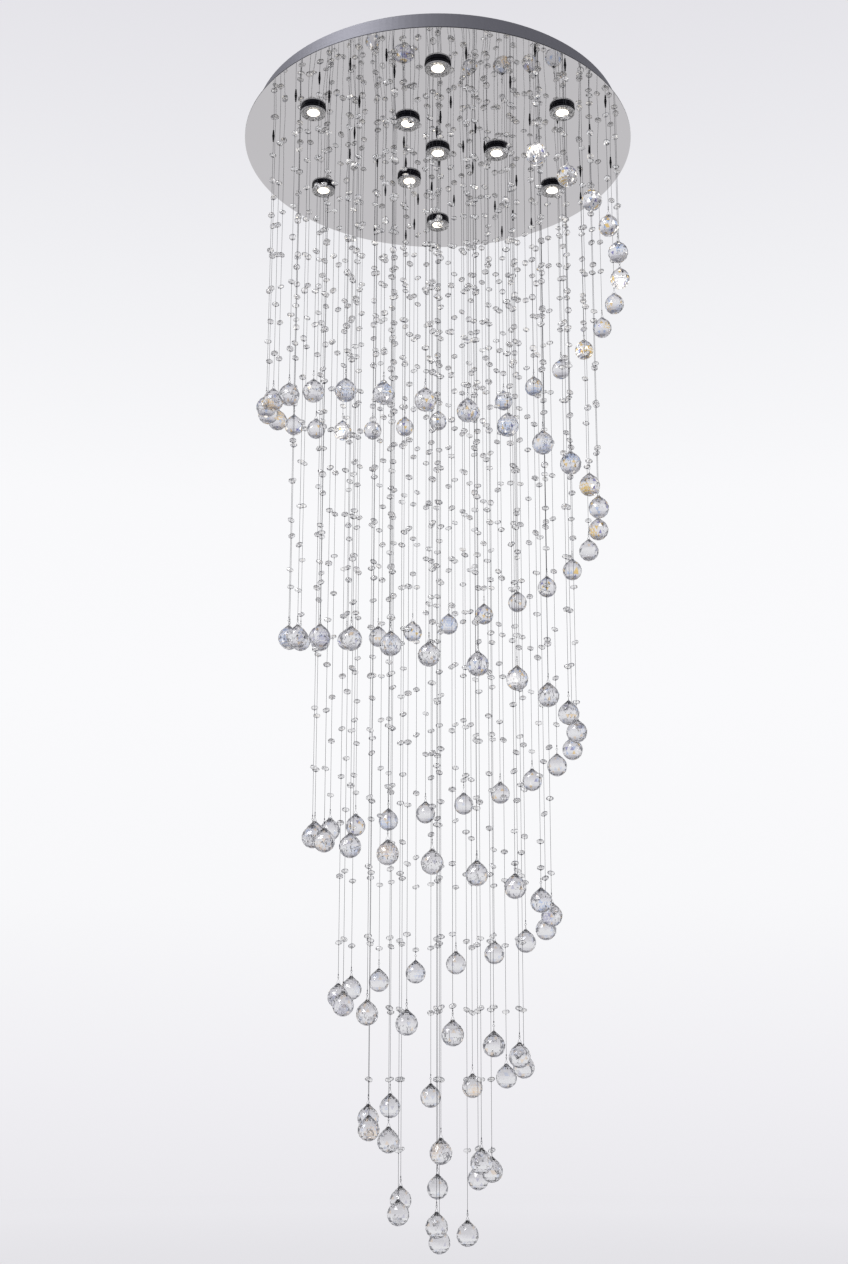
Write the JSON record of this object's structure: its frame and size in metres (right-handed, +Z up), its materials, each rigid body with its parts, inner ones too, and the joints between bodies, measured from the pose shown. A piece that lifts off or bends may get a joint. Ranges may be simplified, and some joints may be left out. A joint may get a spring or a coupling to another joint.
{
  "type": "crystal chandelier",
  "caption": "Round mirror-plate ceiling chandelier with twist-in lamps and a narrowing spiral of fine hanging wires that carry faceted crystal balls and beads.",
  "frame": {"origin": "on the ceiling, at the centre of the back plate's top face; everything hangs below it", "axes": "+Z up, along the chandelier's axis; -Y towards the side seen in the picture; +X to its right"},
  "size_m": [0.7999, 0.8, 2.2409],
  "materials": {
    "back_plate": "galvanised",
    "spacer": "zinc plated",
    "drum": "satin stainless",
    "mirror": "mirror polished stainless steel",
    "terminal": "moulded nylon",
    "socket": "glazed ceramic",
    "lamp": "bright faceted reflector",
    "lens": "frosted lens, lit",
    "wire": "fine stainless wire",
    "ball_crystal": "cut and polished crystal",
    "bead_crystal": "cut and polished crystal"
  },
  "bodies": {
    "canopy": {"back_plate": "back_plate", "balls_tier_1": "ball_crystal", "balls_tier_2": "ball_crystal", "balls_tier_3": "ball_crystal", "balls_tier_4": "ball_crystal", "balls_tier_5": "ball_crystal", "balls_tier_6": "ball_crystal", "beads_tier_4": "bead_crystal", "beads_tier_5": "bead_crystal", "beads_tier_6": "bead_crystal", "housing_drum": "drum", "lamp_sockets": "socket", "mirror_plate": "mirror", "spacers": "spacer", "terminal_block": "terminal", "wires_tier_1": "wire", "wires_tier_2": "wire", "wires_tier_3": "wire", "wires_tier_4": "wire", "wires_tier_5": "wire", "wires_tier_6": "wire"},
    "lamp_1": {"lamp_1": "lamp", "lens_1": "lens"},
    "lamp_2": {"lamp_2": "lamp", "lens_2": "lens"},
    "lamp_3": {"lamp_3": "lamp", "lens_3": "lens"},
    "lamp_4": {"lamp_4": "lamp", "lens_4": "lens"},
    "lamp_5": {"lamp_5": "lamp", "lens_5": "lens"},
    "lamp_6": {"lamp_6": "lamp", "lens_6": "lens"},
    "lamp_7": {"lamp_7": "lamp", "lens_7": "lens"},
    "lamp_8": {"lamp_8": "lamp", "lens_8": "lens"},
    "lamp_9": {"lamp_9": "lamp", "lens_9": "lens"},
    "lamp_10": {"lamp_10": "lamp", "lens_10": "lens"},
    "strand_1": {"strand_1_wire": "wire", "strand_1_ball": "ball_crystal", "strand_1_beads": "bead_crystal"},
    "strand_2": {"strand_2_wire": "wire", "strand_2_ball": "ball_crystal", "strand_2_beads": "bead_crystal"},
    "strand_3": {"strand_3_wire": "wire", "strand_3_ball": "ball_crystal", "strand_3_beads": "bead_crystal"},
    "strand_4": {"strand_4_wire": "wire", "strand_4_ball": "ball_crystal", "strand_4_beads": "bead_crystal"},
    "strand_5": {"strand_5_wire": "wire", "strand_5_ball": "ball_crystal", "strand_5_beads": "bead_crystal"}
  },
  "joints": [
    {"name": "lamp_1_twist", "type": "hinge", "parent": "canopy", "child": "lamp_1", "pos_m": [0, -0.287, -0.046], "axis": [0, 0, -1], "range_deg": [0, 20]},
    {"name": "lamp_2_twist", "type": "hinge", "parent": "canopy", "child": "lamp_2", "pos_m": [0.24855, -0.1435, -0.046], "axis": [0, 0, -1], "range_deg": [0, 20]},
    {"name": "lamp_3_twist", "type": "hinge", "parent": "canopy", "child": "lamp_3", "pos_m": [0.24855, 0.1435, -0.046], "axis": [0, 0, -1], "range_deg": [0, 20]},
    {"name": "lamp_4_twist", "type": "hinge", "parent": "canopy", "child": "lamp_4", "pos_m": [0, 0.287, -0.046], "axis": [0, 0, -1], "range_deg": [0, 20]},
    {"name": "lamp_5_twist", "type": "hinge", "parent": "canopy", "child": "lamp_5", "pos_m": [-0.24855, 0.1435, -0.046], "axis": [0, 0, -1], "range_deg": [0, 20]},
    {"name": "lamp_6_twist", "type": "hinge", "parent": "canopy", "child": "lamp_6", "pos_m": [-0.24855, -0.1435, -0.046], "axis": [0, 0, -1], "range_deg": [0, 20]},
    {"name": "lamp_7_twist", "type": "hinge", "parent": "canopy", "child": "lamp_7", "pos_m": [0.123, 0, -0.046], "axis": [0, 0, -1], "range_deg": [0, 20]},
    {"name": "lamp_8_twist", "type": "hinge", "parent": "canopy", "child": "lamp_8", "pos_m": [-0.0615, 0.10652, -0.046], "axis": [0, 0, -1], "range_deg": [0, 20]},
    {"name": "lamp_9_twist", "type": "hinge", "parent": "canopy", "child": "lamp_9", "pos_m": [-0.0615, -0.10652, -0.046], "axis": [0, 0, -1], "range_deg": [0, 20]},
    {"name": "lamp_10_twist", "type": "hinge", "parent": "canopy", "child": "lamp_10", "pos_m": [0, 0, -0.046], "axis": [0, 0, -1], "range_deg": [0, 20]},
    {"name": "strand_1_swing", "type": "hinge", "parent": "canopy", "child": "strand_1", "pos_m": [-0.0676, 0.05021, -0.046], "axis": [-0.8028, 0.5963, 0], "range_deg": [-0.6, 0.6]},
    {"name": "strand_2_swing", "type": "hinge", "parent": "canopy", "child": "strand_2", "pos_m": [-0.0701, -0.02831, -0.046], "axis": [-0.9273, -0.3744, 0], "range_deg": [-0.6, 0.6]},
    {"name": "strand_3_swing", "type": "hinge", "parent": "canopy", "child": "strand_3", "pos_m": [-0.00204, -0.06584, -0.046], "axis": [-0.0309, -0.9995, 0], "range_deg": [-0.6, 0.6]},
    {"name": "strand_4_swing", "type": "hinge", "parent": "canopy", "child": "strand_4", "pos_m": [0.05286, -0.01299, -0.046], "axis": [0.9711, -0.2386, 0], "range_deg": [-0.6, 0.6]},
    {"name": "strand_5_swing", "type": "hinge", "parent": "canopy", "child": "strand_5", "pos_m": [0.00289, 0.0397, -0.046], "axis": [0.0727, 0.9974, 0], "range_deg": [-0.6, 0.6]}
  ]
}
